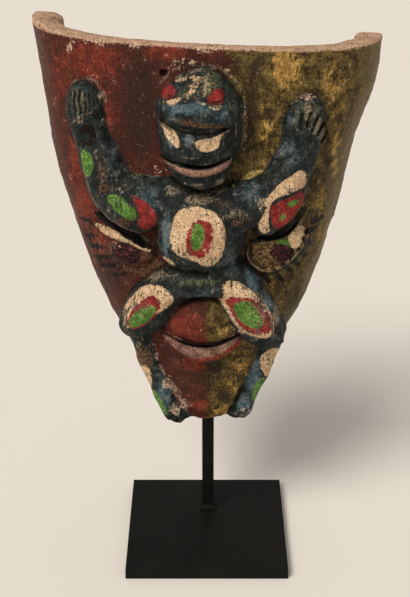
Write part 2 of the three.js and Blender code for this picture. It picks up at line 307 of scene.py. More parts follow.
class Field:
    """A box of distances on a regular grid."""

    def __init__(self):
        self.low = np.array(FIELD_LOW)
        self.axes = [np.arange(a, b + VOXEL, VOXEL, dtype=np.float32) for a, b in zip(FIELD_LOW, FIELD_HIGH)]
        self.x, self.y, self.z = np.meshgrid(*self.axes, indexing="ij", sparse=True)
        self.value = np.full([len(a) for a in self.axes], FAR, np.float32)

    def block(self, low, high):
        """The slices of the grid that hold a box, and their axes."""
        cut = tuple(slice(max(0, int((a - o) / VOXEL)), max(0, int((b - o) / VOXEL) + 2))
                    for a, b, o in zip(low, high, self.low))
        return cut, [axis[c] for axis, c in zip(self.axes, cut)]

    def add(self, forms):
        for form, blend in forms.values():
            margin = blend + 2 * VOXEL
            cut, axes = self.block(form.low - margin, form.high + margin)
            d = form.distance(*np.meshgrid(*axes, indexing="ij", sparse=True))
            self.value[cut] = soft_min(self.value[cut], d, blend)

    def engrave(self, line, width, depth):
        """Sinks the front by depth along a line drawn on the picture plane."""
        p = np.reshape(line, (-1, 2))
        reach = np.max(width) / 2 + ENGRAVED_EDGE
        corners = [from_frame(u, v, y) for u in (p[:, 0].min() - reach, p[:, 0].max() + reach)
                   for v in (p[:, 1].min() - reach, p[:, 1].max() + reach) for y in ENGRAVED_DEPTHS]
        cut, axes = self.block(np.min(corners, 0), np.max(corners, 0))
        points = np.stack(np.meshgrid(*axes, indexing="ij"), -1).reshape(-1, 3)
        u, v = to_frame(to_world(points))
        inside = np.clip(0.5 - stroke(u, v, line, width) / ENGRAVED_EDGE, 0, 1)
        inside = inside * inside * (3 - 2 * inside)
        self.value[cut] += (depth * inside).reshape([len(a) for a in axes]).astype(np.float32)

    def cut_through(self, line, width):
        """Cuts front to back along a line of points x, z."""
        x, z = np.meshgrid(self.axes[0], self.axes[2], indexing="ij")
        d = stroke(x.ravel(), z.ravel(), line, width).reshape(len(self.axes[0]), 1, -1)
        self.value = soft_max(self.value, -d.astype(np.float32), SLIT_EDGE)

    def scoop(self, width, height, depth, seed, where=True):
        """Sinks a shallow scoop round each of many random points of the surface."""
        draw = np.random.default_rng(seed)
        skin = np.nonzero((np.abs(self.value) < SKIN) & where)
        around = (SCOOP_ARC * np.arctan2(self.x, -self.y))[skin[0], skin[1], 0] / width
        up = self.axes[2][skin[2]] / height
        i, k = np.floor(around).astype(int), np.floor(up).astype(int)
        count = (int(i.max() - i.min()) + 3, int(k.max() - k.min()) + 3)
        shift_i, shift_k, depths = draw.uniform(0.1, 0.9, (3, *count))
        around, up, i, k = around - i.min() + 1, up - k.min() + 1, i - i.min() + 1, k - k.min() + 1
        sunk = np.zeros(len(i))
        for a in (i - 1, i, i + 1):
            for b in (k - 1, k, k + 1):
                far = (around - a - shift_i[a, b]) ** 2 + (up - b - shift_k[a, b]) ** 2
                sunk = np.maximum(sunk, depths[a, b] * (1 - SCOOP_STEEPNESS * far))
        self.value[skin] += depth * (2 * sunk - SCOOP_LIFT)

    def roughen(self, cells, amount, seed, where=1.0):
        """Adds smooth noise: random values on a lattice of the given cells, blended between them."""
        draw = np.random.default_rng(seed)
        weights = []
        for axis, cell in zip(self.axes, cells):
            t = (axis - axis[0]) / cell
            i = t.astype(int)
            f = t - i
            f = f * f * (3 - 2 * f)
            w = np.zeros((len(axis), int(t[-1]) + 2), np.float32)
            w[np.arange(len(axis)), i] = 1 - f
            w[np.arange(len(axis)), i + 1] += f
            weights.append(w)
        noise = draw.uniform(-1, 1, [w.shape[1] for w in weights]).astype(np.float32)
        for sums, w in zip(("xa,abc->xbc", "yb,xbc->xyc", "zc,xyc->xyz"), weights):
            noise = np.einsum(sums, w, noise)
        self.value += amount * noise * where

    def sample(self, points):
        """Distances at points, blended between the grid's values."""
        q = np.clip((points - self.low) / VOXEL, 0, np.array(self.value.shape) - 1.001)
        i = q.astype(int)
        t = q - i
        out = np.zeros(len(points))
        for corner in np.ndindex(2, 2, 2):
            weight = np.prod(np.abs(1 - np.array(corner) - t), axis=1)
            out += weight * self.value[tuple((i + corner).T)]
        return out

    def mesh(self):
        grid = openvdb.FloatGrid(BAND)
        grid.copyFromArray(np.clip(self.value, -BAND, BAND).astype(np.float32))
        points, triangles, quads = grid.convertToPolygons(isovalue=0.0, adaptivity=FLATNESS)
        faces = [face[::-1] for face in triangles.tolist() + quads.tolist()]
        return np.asarray(points, float) * VOXEL + self.low, faces


# The carving: each form and how softly it runs into the ones before it

HEAD_FORMS = {
    "skull": (ball((-3, -79, 243.5), (29.5, 31, 41.5)), CREASE),
    "brow": (curved_limb([(-27, -87, 261, 5), (-15, -101, 260, 6.5), (1, -106, 259.5, 7),
                          (15, -100, 259.5, 6.5), (24, -87, 260, 5)]), 9),
    "muzzle": (ball((-4, -94, 239), (21.5, 17.5, 13.5)), 4),
    "nose": (limb([(-7, -107, 250, 4), (-8, -110, 242.5, 4.5)]), 3),
    "lip": (curved_limb([(-24, -90, 229.5, 2), (-16, -101.5, 225, 3.2), (-5, -108, 222.3, 4),
                         (5, -107, 222.8, 4), (14, -100.5, 226, 3.2), (21, -90, 231, 2)]), 1.2),
    "chin": (ball((-1, -90, 213), (17, 14, 8.5)), 3),
}
TRUNK_FORMS = {
    "belly": (limb([(-9, -84, 164, 22), (8, -84, 164, 22)]), 7),
    "navel_side": (ball((1, -86, 172), (26, 23, 24)), 6),
    "chest": (limb([(-20, -77, 187, 18.5), (20, -77, 187, 18.5)]), 8),
    "hips": (limb_on([(-14, 131, 3, 12.5), (16, 131, 3, 12.5)]), 3),
}
LEFT_ARM_FORMS = {
    "forearm": (limb_on([(-84, 244, -2, 14.5), (-80, 229, -2, 14.5), (-74, 214, -1, 16),
                         (-68, 200, -1, 17.5)]), 3),
    "upper_arm": (ball(on(-58, 186.5, 1), (31, 17, 17), (31, -22, 0)), 3),
    "shoulder": (limb_on([(-52, 190, -2, 16.5), (-24, 188, 1, 18)]), 4),
    "palm": (ball(on(-86.5, 250, 1), (14.5, 10.5, 17.5), (0, -32, 0)), 3),
}
RIGHT_ARM_FORMS = {
    "forearm": (limb_on([(66, 240, -2, 15), (64.5, 229, -2, 14.5), (60, 218, -1, 15.5),
                         (55, 206, -1, 16.5)]), 3),
    "upper_arm": (facet(ball(on(54, 188.5, 1), (25.5, 17, 12.5), (-52, 22, 0)), on(54, 188.5, 13.5),
                        (0.35, -0.93, 0.1)), 2),
    "shoulder": (limb_on([(44, 194, -2, 16.5), (20, 188, 1, 18)]), 4),
    "palm": (ball(on(67, 247, 1), (15.5, 10.5, 20.5), (8, 27, 0)), 3),
}
LEFT_LEG_FORMS = {
    "thigh": (limb_on([(-10, 131, 3, 12.5), (-26, 122, 5, 14)]), 4),
    "knee": (ball(on(-36.5, 107, 5), (30.5, 16, 17), (-50, 2, 0)), 2.5),
    "shin": (limb_on([(-47, 88, -4, 11), (-41, 62, -5, 11), (-32, 38, -4, 11), (-22, 14, -1, 10.5)]), 3),
    "foot": (ball(on(-17, 9, 3), (11, 7, 9), (0, -10, 0)), 3),
}
RIGHT_LEG_FORMS = {
    "thigh": (limb_on([(19, 141, 3, 13), (32, 124, 5, 15)]), 4),
    "knee": (ball(on(37, 107, 5), (35, 16, 18), (54, 0, 0)), 2.5),
    "shin": (limb_on([(52, 84, -4, 11), (46, 60, -5, 11), (38, 36, -4, 11), (30, 14, -1, 10)]), 3),
    "foot": (ball(on(29, 11, 3), (11, 7, 9), (0, 10, 0)), 3),
}
FACE_FORMS = {
    "upper_lip": (ball((3, -66, 98), (35, 26, 23.5)), 3),
    "lower_lip": (curved_limb([(-29, -73, 89.5, 3), (-18, -82, 80.5, 4.5), (-7, -87, 75.2, 5.4),
                               (6, -88.5, 73.6, 5.6), (18, -85.5, 77.3, 4.8), (31, -75, 86.5, 3)]), 2),
    "chin": (ball(on(3, 46, -10), (28, 14, 42)), 4),
    "left_eye": (ball(on(-55, 149.5, -2), (23, 11, 14), (0, -22, 0)), 3),
    "right_eye": (ball(on(54, 154, -2), (24, 11, 17), (-18, 22, 0)), 3),
}
# The eye slits: points x, z of the line that each follows, and its height along it
EYE_SLITS = [
    ([(-76, 171), (-69, 167.5), (-60, 164), (-50, 160), (-41, 155)], (1.5, 3, 3.6, 3, 1.5)),
    ([(40, 164.5), (48, 165), (54, 167), (60, 170), (65, 174)], (1.2, 2, 3, 4, 2)),
]
BODY_PARTS = {
    "trunk": TRUNK_FORMS, "left_arm": LEFT_ARM_FORMS, "right_arm": RIGHT_ARM_FORMS,
    "left_leg": LEFT_LEG_FORMS, "right_leg": RIGHT_LEG_FORMS,
}
FIGURE_PARTS = {"head": HEAD_FORMS, **BODY_PARTS}

# Small carving, in pixels of the frame: the line's points, its width and how deep it goes in millimetres;
# a depth below zero stands proud
ENGRAVED = [
    ([161, 155, 170, 161, 182, 165, 194, 167.5, 206, 167.5, 217, 164.5, 230, 158],
     (1.2, 2, 2.4, 2.8, 2.8, 2.4, 1.2), 2.8),
    ([180, 156, 188, 158.5, 200, 158], 1.5, -0.7),
    ([161, 120, 172, 128, 184, 132, 198, 134, 212, 133, 226, 129], (2, 6, 9, 9, 7, 2), 2),
    ([184, 184, 194, 185.5, 208, 184], 1.5, -0.7), ([166, 127, 171, 136, 177, 146], (6, 9, 6), 1),
    ([202, 147, 211, 144, 221, 135], (8, 11, 4), 1), ([166, 91, 172, 91], 9, -1.4),
    ([213, 97, 218, 96], 11, -1.4), ([70, 95, 69, 103, 71, 111], 1.8, 1.2),
    ([75, 92, 74.5, 102, 76, 112], 2, 1.6), ([80, 92, 79, 102, 81, 113], 2.2, 1.8),
    ([85, 96, 85, 104, 86, 111], 1.6, 1.4), ([90, 94, 90, 103, 90, 111], 1.8, 1.2),
    ([72, 123, 79, 118, 90, 113], 2, -0.9), ([303, 113, 301, 121, 300, 130], 2.6, 1.8),
    ([311, 113, 309, 119, 306.5, 127], 2.4, 2.2), ([318, 117, 315, 124, 312, 132], 2.4, 2.2),
    ([323, 123, 320, 129, 317, 136], 2.4, 2.2), ([327, 130, 325, 135, 321, 142], 2, 2),
    ([290, 107, 299, 103, 306, 107], 2, 1.2),
    ([160, 331, 175, 338.5, 188, 344, 205, 346, 220, 343, 239, 334], (1, 1.8, 2, 2, 1.8, 1), 1.4),
    ([172, 412, 171, 420], 1.6, 1.5), ([177, 412, 178, 421], 1.6, 1.5), ([182, 410, 184, 418], 1.6, 1.5),
    ([240, 409, 240, 417], 1.6, 1.2), ([246, 407, 247, 414], 1.6, 1.2),
    ([153, 344, 154, 360, 161, 376, 173, 390, 187, 406], 3.5, -0.9),
    ([248, 352, 251, 362, 241, 384, 234, 400], 2.5, 0.9), ([193, 44, 205, 48, 221, 45], (5, 8, 5), 1.8),
    ([126, 45, 138, 46, 149, 42], (6, 6, 4), 1.4), ([92, 37, 105, 38], 3, 1.2), ([343, 45, 348, 46], 4, 1.2),
    ([69, 41, 71, 49], 4, 0.9), ([343, 178, 338, 200, 331, 228], 1.8, -0.9),
    ([327, 222, 322, 240, 317, 254], 1.8, -0.9), ([300, 306, 292, 325, 284, 343], 1.8, -0.9),
    ([80, 150, 84, 170, 90, 192, 98, 208], 1.6, -0.7),
    ([249, 246, 247, 255, 251, 264, 260, 270.5, 272, 271, 288, 263, 301, 249, 308, 234, 310, 222],
     (1.5, 2, 2, 2, 2, 2, 2, 1.8, 1.2), -1.1),
    ([251, 247, 250, 255, 254, 263, 262, 267.5, 272, 267, 285, 260, 297, 247, 304, 234], 1.6, 1),
    ([98, 225, 110, 233, 126, 239, 144, 248], (2, 4, 5, 3), -1.4),
    ([120, 250, 127, 252, 134, 253], (14, 20, 14), -1), ([163.5, 73, 164.5, 73], 6.5, 6),
    ([163, 257, 170, 261, 176, 266], (2, 4, 2), -1.2), ([160, 168, 166, 178, 178, 188], 1.4, 1),
]


def carve():
    field = Field()
    for forms in BODY_PARTS.values():
        field.add(forms)
    face = Field()
    face.value = arch(face.x, face.y, face.z, OUTSIDE).astype(np.float32)
    face.add(FACE_FORMS)
    field.value = soft_min(field.value, face.value, CREASE)
    field.add(HEAD_FORMS)
    for line, width, depth in ENGRAVED:
        field.engrave(line, width, depth)
    for seed, scoop in enumerate(SCOOPS):
        field.scoop(*scoop, seed)
    field.roughen(*FRONT_NOISE)
    hollow = arch(field.x, field.y, field.z, HOLLOW)
    field.value = soft_max(field.value, -hollow, HOLLOW_EDGE)
    field.roughen(*HOLLOW_NOISE, np.clip(2 - np.abs(hollow) / SKIN, 0, 1))
    for seed, scoop in enumerate(HOLLOW_SCOOPS, len(SCOOPS)):
        field.scoop(*scoop, seed, np.abs(hollow) < SKIN)
    rim = MASK_HEIGHT + steps_at(field.x, RIM_STEPS)
    toe = TOE_HEIGHT + steps_at(field.x, TOE_STEPS)
    for beyond in (field.y, field.z - rim, toe - field.z):
        field.value = soft_max(field.value, beyond, CUT_EDGE)
    for line, width in EYE_SLITS:
        field.cut_through(line, width)
    return field


# Paint. Closed patches: the colour and the part that carries them, then outlines in pixels of the frame
OUTLINES = {
    ("cream", "head"): [
        [163, 120, 168, 123, 176, 133, 180, 141, 178, 150, 172, 144, 165, 136, 163, 128],
        [192, 143, 200, 140, 210, 139, 219, 135, 225, 131, 219, 141, 219, 148, 211, 152, 200, 152],
        [162, 100, 170, 101, 181, 96, 181, 100, 173, 106, 164, 104],
        [207, 105, 214, 107, 222, 104, 221, 109, 213, 111], [174, 80, 182, 77, 188, 77, 184, 81, 178, 83]],
    ("cream", "trunk"): [
        [178, 211, 187, 207, 200, 206, 212, 210, 222, 219, 226, 232, 225, 248, 219, 262, 208, 268, 195, 262,
         180, 257, 171, 250, 169, 238, 173, 220],
        [161, 256, 169, 258, 177, 266, 168, 264]],
    ("cream", "right_arm"): [
        [301, 169, 306, 172, 307, 181, 303, 188, 292, 193, 276, 198, 270, 204, 269, 214, 268, 226, 271,
         231, 263, 235, 257, 227, 262, 217, 266, 209, 262, 203, 268, 196, 275, 190, 278, 184, 290, 177]],
    ("cream", "left_leg"): [
        [122, 318, 124, 306, 132, 295, 145, 284, 158, 285, 168, 290, 175, 299, 170, 306, 158, 313, 140, 326,
         126, 330],
        [139, 366, 147, 365, 152, 375, 152, 389, 145, 385]],
    ("cream", "right_leg"): [
        [216, 297, 218, 288, 226, 281, 236, 280, 250, 289, 262, 299, 271, 313, 275, 328, 271, 338, 256, 338,
         241, 331, 230, 319, 223, 306],
        [259, 357, 268, 350, 278, 347, 281, 351, 275, 361, 271, 377, 265, 377, 260, 366]],
    ("cream", "face"): [
        [93, 222, 103, 225, 113, 230, 128, 236, 141, 242, 153, 251, 147, 252, 130, 244, 114, 239, 101, 232],
        [287, 231, 297, 225, 305, 226, 305, 236, 299, 247, 292, 250, 289, 243]],
    ("red", "head"): [
        [161, 95, 163, 86, 168, 83, 174, 86, 177, 93, 172, 99, 163, 99],
        [207, 100, 211, 91, 217, 88, 224, 90, 224, 103, 216, 107, 208, 105]],
    ("red", "trunk"): [
        [196, 220, 207, 220, 213, 226, 213, 240, 210, 252, 202, 260, 193, 256, 184, 252, 186, 238, 189,
         227]],
    ("red", "left_arm"): [
        [128, 194, 138, 196, 149, 204, 157, 214, 156, 225, 148, 231, 140, 228, 137, 223, 141, 216, 135,
         206]],
    ("red", "right_arm"): [
        [271, 206, 282, 200, 294, 196, 303, 190, 304, 200, 299, 211, 290, 222, 279, 229, 273, 229, 270,
         217]],
    ("red", "face"): [
        [200, 359, 212, 357, 223, 352, 233, 345, 242, 336, 244, 342, 234, 350, 222, 358, 208, 362]],
    ("red", "left_leg"): [
        [126, 320, 134, 307, 144, 299, 153, 295, 160, 300, 161, 309, 150, 322, 138, 329, 128, 330]],
    ("red", "right_leg"): [
        [224, 297, 238, 297, 254, 299, 264, 307, 271, 318, 273, 331, 263, 336, 250, 334, 239, 326, 231,
         316]],
    ("green", "trunk"): [[192, 224, 202, 223, 205, 232, 204, 245, 198, 254, 192, 250, 190, 237]],
    ("green", "left_arm"): [
        [105, 197, 112, 193, 122, 197, 131, 204, 139, 215, 137, 222, 126, 219, 113, 210],
        [80, 149, 87, 149, 93, 157, 94, 167, 88, 180, 83, 172]],
    ("green", "right_arm"): [
        [284, 206, 292, 200, 300, 199, 298, 205, 290, 207],
        [278, 217, 283, 210, 289, 212, 287, 219, 280, 223]],
    ("green", "left_leg"): [
        [127, 322, 132, 315, 144, 306, 155, 304, 158, 310, 150, 320, 138, 327, 130, 328],
        [149, 391, 155, 389, 161, 398, 170, 417, 161, 412, 154, 403]],
    ("green", "right_leg"): [
        [232, 304, 240, 301, 249, 300, 258, 308, 266, 321, 260, 329, 248, 328, 238, 321],
        [257, 379, 267, 376, 262, 388, 254, 404, 251, 397]],
    ("green", "face"): [[273, 243, 280, 239, 288, 240, 293, 247, 289, 247, 281, 243]],
    ("pink", "head"): [
        [163, 158, 172, 165, 186, 169, 200, 171, 213, 169, 224, 164, 232, 159, 228, 167, 219, 173, 206,
         177, 190, 177, 176, 172]],
    ("mauve", "face"): [
        [159, 332, 170, 337, 182, 342.5, 196, 346.5, 210, 347, 223, 344.5, 239, 336, 242, 340, 231, 348,
         219, 356, 205, 360, 191, 358, 179, 351, 168, 343]],
    ("brown", "head"): [
        [174, 119, 184, 119, 198, 122, 214, 124, 226, 126, 220, 129, 206, 128.5, 188, 126, 178, 124]],
    ("brown", "face"): [
        [248, 252, 256, 245, 272, 243, 292, 244, 291, 256, 280, 267, 264, 270, 253, 264],
        [104, 240, 124, 243, 150, 252, 164, 262, 160, 276, 142, 279, 122, 269, 110, 256]],
    ("brown", "left_leg"): [[127, 346, 146, 345, 154, 360, 151, 371, 139, 368, 132, 360]],
    ("dark", "face"): [
        [111, 250, 115, 242, 126, 242, 138, 249, 142, 258, 134, 265, 121, 264, 112, 258],
        [270, 247, 278, 242, 290, 245, 296, 252, 290, 261, 278, 262, 270, 256]],
}

# Brush strokes: points and width. The pale ones are edges and ridges that have lost their paint, but for two
# dots on the left hand's black blobs and the line along the chin, which are painted highlights
STROKES = {
    ("cream", "head"): [
        ([191, 76, 190.5, 88, 189, 101], (2, 3.4, 2.6)), ([196, 74, 195.5, 86, 194, 102], (3, 3.6, 2)),
        ([200.5, 77, 200, 90, 198, 103], (2, 2.6, 1.6)), ([205, 76, 206, 87, 204, 97], (1.4, 2.2, 1)),
        ([186.5, 92, 186.5, 101], 1.6), ([209, 79, 209.5, 90], (1, 1.4)), ([199, 103.5, 205, 104], 1.8)],
    ("yellow", "face"): [([262, 171, 252, 174, 243, 180, 234, 187], (3, 7, 3.5, 4.5))],
    ("yellow", "trunk"): [([258, 173, 250, 176, 243, 181, 234, 187], (2, 5, 3.5, 4.5))],
    ("yellow", "right_arm"): [([260, 172, 252, 175], (2, 4))],
    ("pale", "face"): [
        ([154, 118, 155, 101, 160, 84, 170, 73, 185, 66, 200, 64, 215, 67, 228, 74, 238, 84, 244, 98, 246,
         118, 245, 140], (1, 1.5, 2, 4, 5, 4, 3.5, 3, 3, 2.5, 2.5, 2)),
        ([66, 104, 66, 92, 73, 82, 84, 78, 95, 81, 103, 91, 107, 106, 112, 130],
         (0.5, 1, 1.5, 3, 3.5, 3, 1.5, 1)),
        ([151, 343, 155, 358, 163, 375, 175, 391, 187, 405], (3, 5, 7, 8, 6)),
        ([247, 250, 248, 259, 253, 267, 262, 271.5, 274, 270.5, 289, 262, 301, 249, 308, 234], 1.4),
        ([343, 176, 338, 200, 330, 230], 1.6), ([328, 224, 322, 240, 316, 256], 1.6),
        ([352, 60, 350, 100, 346, 130], 1), ([362, 50, 361, 90, 352, 130], 1),
        ([300, 306, 292, 325, 284, 343], 1.6)],
    ("pale", "head"): [
        # The second stroke on the next line, along the chin, is a painted highlight
        ([181, 156, 188, 158.5, 198, 158], 1.6), ([184, 183.5, 194, 185, 206, 184], 2),
        ([231, 92, 235, 110, 236, 130, 233, 150], (0.5, 1.2, 1.6, 0.8)),
        ([241, 105, 243, 125, 241, 148], 1)],
    ("pale", "left_arm"): [
        ([80, 148, 84, 168, 90, 191, 98, 208, 112, 221, 130, 231, 145, 234], 1.6),
        ([72, 94, 71.5, 102, 73, 109], 0.8), ([77, 91, 77, 102, 79, 112], 1.1),
        ([82, 93, 82.5, 103, 84, 113], 1.4), ([87, 97, 88, 104, 88, 109], 0.6), ([99, 93, 101, 102], 2.6),
        # The last two pale strokes here, on the black blobs of the left hand, are painted highlights
        ([72, 123, 80, 117, 90, 113], 1.4), ([84, 130, 87, 129], 1.2), ([86, 142, 89, 140], 1.4)],
    ("pale", "right_arm"): [
        ([307, 114, 306, 119, 305, 124], 2.2), ([315, 114, 313, 121, 310, 130], 1.8),
        ([321, 120, 318, 127, 315, 134], 1.8), ([326, 127, 323, 132, 320, 139], 1.6),
        ([328, 132, 326, 142, 320, 156, 313, 169], 1.2), ([301, 97, 308, 98, 312, 101], 3)],
    ("pale", "right_leg"): [
        ([224, 300, 231, 318, 243, 331, 257, 337, 268, 337], (1, 2.5, 3, 3, 2)),
        ([254, 290, 264, 300, 270, 314], (2, 2.5, 2)), ([233, 399, 238, 393], 1.6),
        ([234, 413, 243, 415, 252, 409], 2)],
    ("pale", "left_leg"): [
        ([123, 322, 125, 331, 134, 334], 1.6), ([170, 405, 176, 410, 180, 416], (5, 6, 3))],
    ("pale", "trunk"): [([184, 212, 178, 203, 173, 194], (1, 1.5, 2))],
    ("black", "head"): [
        ([161, 156, 170, 161, 182, 164.5, 194, 167, 206, 167.5, 217, 164.5, 229, 159],
         (1, 2, 2.4, 2.6, 2.6, 2.6, 1.5)),
        # This black stroke, under the brow, is painted shade in the groove there
        ([160, 118, 168, 125, 180, 131, 194, 134, 208, 134, 220, 132, 228, 129],
         (1.5, 2, 3, 3.4, 3, 2, 1.5))],
    ("black", "face"): [
        ([162, 331.5, 175, 338.5, 188, 344, 205, 346, 220, 343, 237, 335], (1, 2, 2.6, 2.6, 2, 1)),
        # The next two black strokes, along the eye slits under the arms, are painted shadow
        ([97, 213, 108, 220, 120, 227, 134, 236, 149, 247], (6, 9, 10, 9, 5)),
        ([250, 241, 262, 240, 275, 236, 286, 231, 297, 220, 306, 206], (4, 5, 7, 10, 7, 5)),
        ([313, 222, 319, 218, 325, 215], (6, 5.5, 2.5)), ([307, 232, 312, 229, 319, 226], (6, 5.5, 2.5)),
        ([304, 239, 308, 241.5, 313, 245], (5.5, 6, 3.5)), ([299, 250, 303, 253.5, 308, 255.5], (6, 7, 4)),
        ([291, 257, 295.5, 261.5, 299, 265], (6, 6.5, 4)), ([283, 264.5, 287.5, 268.5, 292, 272], (6, 6, 4)),
        ([274, 271, 278, 276, 283, 281], (6, 6, 4)), ([263, 275, 267, 279, 271, 285], (5.5, 5.5, 4)),
        ([80, 217, 87, 220, 93, 224], (3, 4.5, 3.5)), ([85, 233, 90, 235, 96, 236], (4, 5.5, 3.5)),
        ([89, 244, 95, 246, 101, 247], (4, 5.5, 4)), ([94, 256, 102, 257.5, 110, 257], (4, 5.5, 4)),
        ([102, 265, 110, 266, 118, 265], (4, 5.5, 4)), ([110, 274, 118, 275, 127, 273], (3, 4, 3.5)),
        ([247, 246, 246, 256, 250, 265, 259, 272, 272, 273, 288, 266, 302, 251, 310, 234, 312, 222], 1.6)],
    ("black", "left_arm"): [
        ([82, 132, 88, 129, 94, 136], (7, 11, 7)), ([85, 144, 91, 144], 6),
        ([75, 93, 74, 102, 76, 111], 1.8), ([80, 92, 79.5, 102, 81.5, 113], 1.8),
        ([85, 95, 85.5, 103, 86, 111], 1.6)],
    ("black", "right_arm"): [
        ([312, 113, 309, 120, 307, 127], 2), ([318, 117, 315, 124, 312.5, 131], 2),
        ([323, 123, 320, 130, 317.5, 136], 2), ([303, 113, 301, 121, 301, 130], 2.5)],
}

# Soft areas: middle, half widths and strength, in pixels of the frame. In the thin ones the light paint is
# worn through to the dark ground
SOFT_AREAS = {
    "bright_red": [
        (92, 60, 24, 20, 1), (60, 75, 14, 30, 0.5), (163, 52, 22, 8, 0.7), (84, 203, 10, 20, 1),
        (76, 165, 8, 26, 0.7), (184, 325, 20, 14, 0.8), (203, 341, 16, 5, 1), (196, 362, 14, 8, 0.9),
        (108, 112, 4, 22, 0.8), (203, 404, 12, 5, 0.9), (98, 240, 10, 18, 0.5), (228, 352, 12, 4, 0.9),
        (128, 152, 5, 6, 0.6)],
    # Soft areas where the ground paint is made darker
    "darkened": [
        (140, 105, 16, 56, 1), (122, 150, 16, 30, 0.5), (130, 75, 12, 14, 0.5), (250, 110, 10, 60, 0.6),
        (215, 366, 9, 7, 1), (224, 396, 8, 6, 1), (112, 275, 14, 22, 0.5), (295, 300, 14, 16, 0.5),
        (205, 378, 26, 12, 0.5), (245, 290, 10, 10, 0.4), (255, 65, 8, 22, 0.5), (326, 150, 5, 60, 0.5),
        (180, 380, 10, 20, 0.4), (310, 95, 20, 6, 0.5), (245, 246, 8, 6, 0.8), (155, 252, 5, 14, 0.8)],
    "ochre": [
        (287, 68, 14, 20, 1.1), (333, 84, 12, 26, 0.6), (335, 150, 7, 50, 0.55), (224, 330, 12, 8, 0.5),
        (240, 366, 12, 14, 0.6), (234, 385, 14, 12, 0.5), (322, 215, 8, 40, 0.5), (266, 130, 9, 34, 0.55),
        (272, 285, 8, 8, 0.5), (224, 410, 12, 6, 0.8)],
    "bare": [
        (208, 46, 16, 5, 1), (97, 41, 20, 4, 0.9), (93, 73, 5, 4, 0.5), (306, 96, 9, 4, 0.9),
        (188, 62, 14, 4, 0.8), (70, 46, 3, 6, 0.9), (156, 360, 4, 14, 0.4), (166, 384, 6, 12, 0.5),
        (182, 405, 7, 8, 0.6), (340, 48, 10, 3, 0.8), (137, 45, 12, 3, 0.8), (101, 97, 3, 5, 0.9),
        (174, 411, 7, 6, 0.5), (243, 410, 10, 5, 0.35), (240, 330, 12, 5, 0.5), (162, 170, 8, 5, 0.4),
        (226, 68, 16, 5, 0.5), (245, 120, 2, 40, 0.5)],
    "tan": [
        (200, 199, 16, 6, 1), (219, 190, 9, 5, 1), (236, 215, 14, 7, 0.6), (172, 190, 8, 7, 0.8),
        (112, 178, 7, 14, 0.35), (222, 186, 7, 8, 0.9), (150, 172, 20, 5, 0.6), (150, 275, 24, 7, 0.8),
        (276, 316, 5, 22, 0.75), (140, 352, 12, 12, 0.6), (207, 80, 10, 8, 0.5), (178, 76, 10, 4, 0.5),
        (308, 109, 6, 6, 0.6), (292, 112, 5, 5, 0.5), (80, 119, 7, 4, 0.6), (200, 70, 26, 3, 0.6),
        (120, 190, 8, 5, 0.6), (148, 205, 4, 8, 0.4), (240, 190, 8, 3, 0.4), (262, 203, 6, 5, 0.8),
        (160, 212, 4, 10, 0.4), (98, 160, 3, 12, 0.5)],
    "rust": [
        (102, 172, 8, 26, 0.45), (104, 188, 6, 7, 0.7), (240, 222, 16, 5, 0.55), (222, 205, 10, 6, 0.5),
        (124, 222, 14, 6, 0.7), (200, 196, 20, 6, 0.5), (138, 356, 12, 10, 0.5)],
    "blue": [
        # The first blue area, across the top of the brow, is lighter paint and partly a painted highlight
        (190, 109, 26, 6, 1), (222, 116, 8, 8, 0.7), (188, 140, 5, 7, 0.9), (112, 160, 8, 20, 0.4),
        (150, 198, 12, 16, 0.5), (250, 192, 18, 12, 0.5), (290, 152, 12, 14, 0.45), (253, 275, 7, 16, 1),
        (200, 295, 24, 6, 0.4), (271, 298, 7, 16, 0.8), (252, 374, 8, 24, 1), (164, 394, 7, 18, 1),
        (244, 404, 9, 10, 1), (166, 234, 5, 22, 1), (172, 112, 6, 8, 0.6), (232, 262, 10, 12, 0.4),
        (171, 142, 5, 8, 0.6), (140, 270, 14, 6, 0.4), (290, 118, 8, 10, 0.4), (85, 88, 12, 4, 0.25)],
    "moss": [
        # The band at 200, 282, along the top of the hips, is moss paint and partly a painted highlight
        (310, 112, 12, 14, 0.9), (318, 128, 8, 14, 0.7), (77, 102, 12, 14, 0.7), (200, 282, 26, 4, 1),
        (170, 262, 12, 8, 0.4), (205, 112, 22, 6, 0.4), (268, 175, 14, 6, 0.4), (215, 262, 8, 6, 0.6),
        (100, 246, 6, 6, 0.9), (128, 241, 12, 3, 0.9), (136, 180, 18, 8, 0.4), (240, 300, 10, 8, 0.3),
        (178, 72, 12, 6, 0.5), (212, 86, 12, 14, 1), (182, 92, 8, 10, 0.6)],
    "thin": [
        (198, 88, 12, 16, 0.5), (195, 146, 6, 8, 0.6), (169, 127, 5, 7, 0.4), (214, 134, 6, 4, 0.5),
        (262, 305, 9, 20, 0.8), (230, 284, 14, 6, 0.5), (216, 107, 8, 3, 0.8), (182, 80, 10, 4, 0.6),
        (135, 300, 9, 12, 0.6), (160, 290, 14, 5, 0.4), (118, 205, 14, 10, 0.4), (245, 333, 20, 6, 0.6),
        (205, 360, 16, 6, 0.7), (222, 355, 12, 6, 0.6), (238, 345, 10, 6, 0.4), (124, 316, 5, 14, 0.7),
        (172, 343, 12, 4, 0.5), (272, 326, 5, 12, 0.7), (212, 262, 8, 5, 0.4), (180, 252, 9, 6, 0.5),
        (268, 228, 6, 7, 0.5), (270, 360, 8, 10, 0.4), (222, 135, 4, 4, 0.5), (100, 226, 8, 5, 0.4)],
}

# How far a patch may pass the edge of its part, how far round the slits their painted shade reaches, and the
# depth in front of which it lies
PART_MARGIN = 1.2
SLIT_SHADE_MARGIN = 0.9
SLIT_BACK = -20

# The line that parts the red half from the ochre half: u at each v
DIVIDE_V = (40, 60, 180, 330, 415)
DIVIDE_U = (222, 232, 205, 207, 208)

